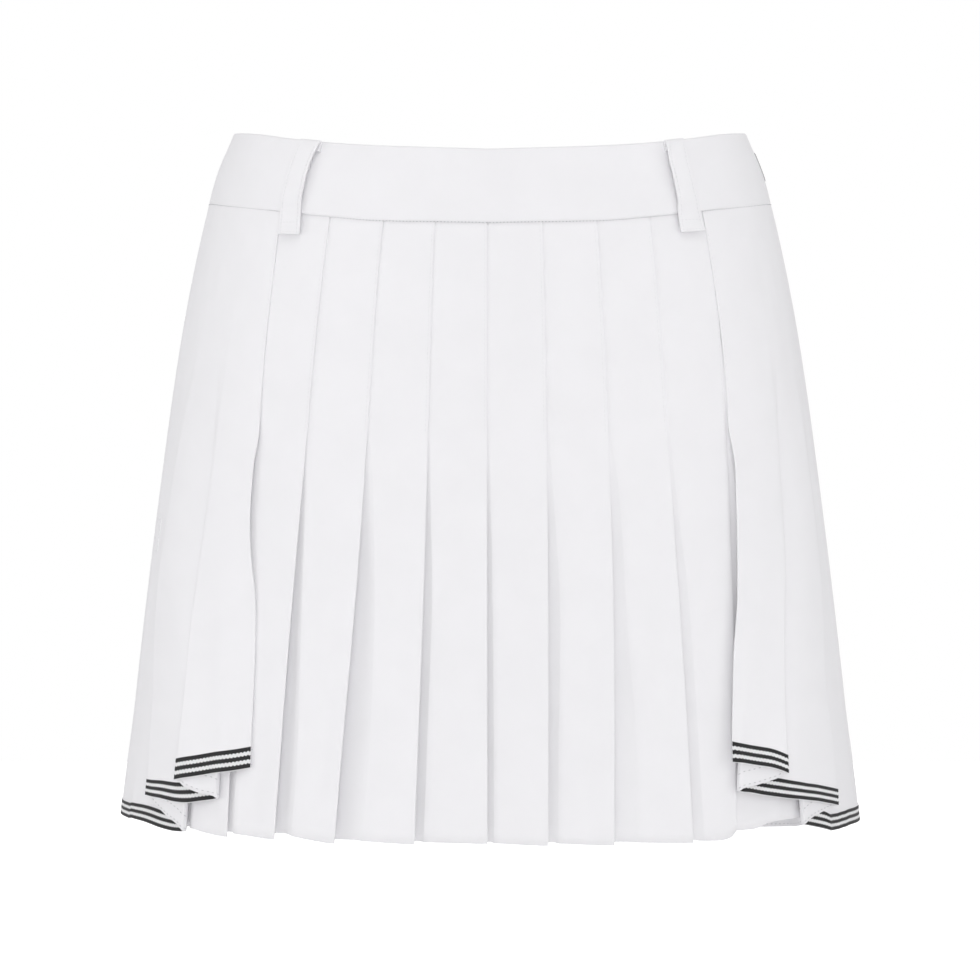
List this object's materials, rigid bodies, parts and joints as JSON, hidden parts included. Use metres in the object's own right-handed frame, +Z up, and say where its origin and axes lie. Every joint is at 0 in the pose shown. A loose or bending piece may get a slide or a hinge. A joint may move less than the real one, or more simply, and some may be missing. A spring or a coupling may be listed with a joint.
{
  "type": "golf skirt",
  "caption": "A-line golf skirt with a knife-pleated front, plain side overlays whose trimmed hems fall in a cascade of folds, and a contoured waistband with belt loops",
  "frame": {"origin": "centre of the waist opening, halfway up the waistband at the centre front, where the wearer's waist holds the skirt", "axes": "+Z up the wearer's body, -Y the wearer's front, +X the wearer's left"},
  "size_m": [0.422, 0.3325, 0.414],
  "materials": {
    "white_cloth": "matte white twill of a stretch woven cloth",
    "striped_ribbon": "grosgrain ribbon with black and white lengthwise stripes",
    "band_plate": "satin grey metal, bare"
  },
  "bodies": {
    "root": {"waistband_front": "white_cloth", "waistband_back": "white_cloth", "front_panel": "white_cloth", "overlay_right": "white_cloth", "overlay_left": "white_cloth", "back_panel": "white_cloth", "ribbon_right": "striped_ribbon", "ribbon_left": "striped_ribbon", "ribbon_back": "striped_ribbon", "belt_loop_front_right": "white_cloth", "belt_loop_front_left": "white_cloth", "belt_loop_back_right": "white_cloth", "belt_loop_back_left": "white_cloth", "belt_loop_back_center": "white_cloth", "side_patch": "white_cloth", "band_plate": "band_plate"}
  },
  "joints": []
}
